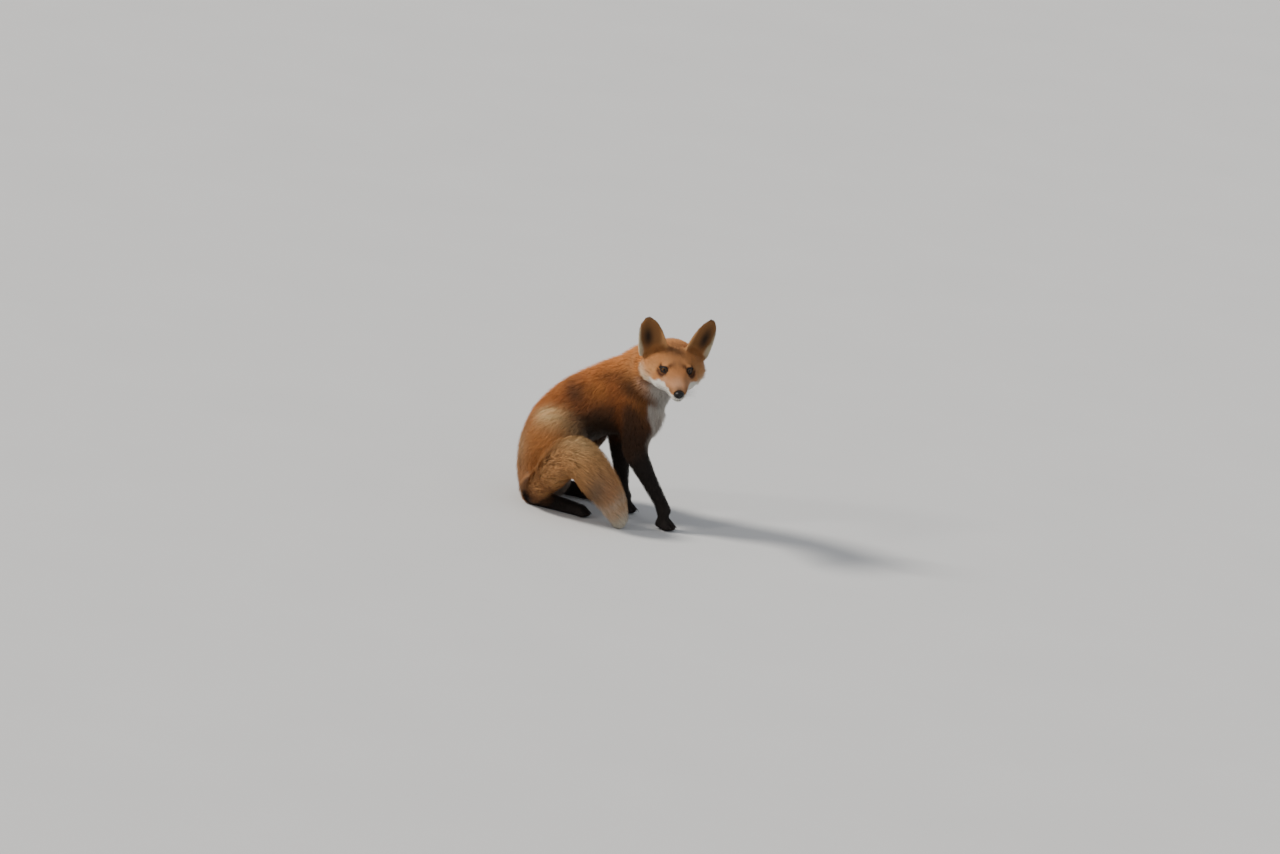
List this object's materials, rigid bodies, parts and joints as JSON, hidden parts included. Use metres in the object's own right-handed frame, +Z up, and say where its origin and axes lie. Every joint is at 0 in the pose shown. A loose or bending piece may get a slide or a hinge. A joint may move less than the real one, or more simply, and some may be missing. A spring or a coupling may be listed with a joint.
{
  "type": "fox",
  "caption": "Still, life-size young red fox sitting with its head turned over its right shoulder and its brush laid round its hind foot.",
  "frame": {"origin": "on the floor, in the middle of the box that the fox fills", "axes": "+X where the chest faces, +Y the fox's left, +Z up; the head is turned about 62 degrees from +X to the fox's right"},
  "size_m": [0.4086, 0.277, 0.4672],
  "materials": {
    "coat_red": "matte",
    "coat_white": "matte",
    "coat_black": "matte",
    "brush": "matte",
    "nose_leather": "satin",
    "eye": "gloss"
  },
  "bodies": {
    "root": {"head": "coat_red", "jaw": "coat_white", "nose": "nose_leather", "eye_left": "eye", "ear_left": "coat_red", "eye_right": "eye", "ear_right": "coat_red", "upper_arm_left": "coat_red", "forearm_left": "coat_black", "forepaw_left": "coat_black", "thigh_left": "coat_red", "shank_left": "coat_red", "hindfoot_left": "coat_black", "upper_arm_right": "coat_red", "forearm_right": "coat_black", "forepaw_right": "coat_black", "thigh_right": "coat_red", "shank_right": "coat_red", "hindfoot_right": "coat_black", "neck": "coat_red", "chest": "coat_red", "loin": "coat_red", "rump": "coat_red", "tail_root": "brush", "tail_middle": "brush", "tail_end": "brush", "tail_tip": "coat_white"}
  },
  "joints": []
}
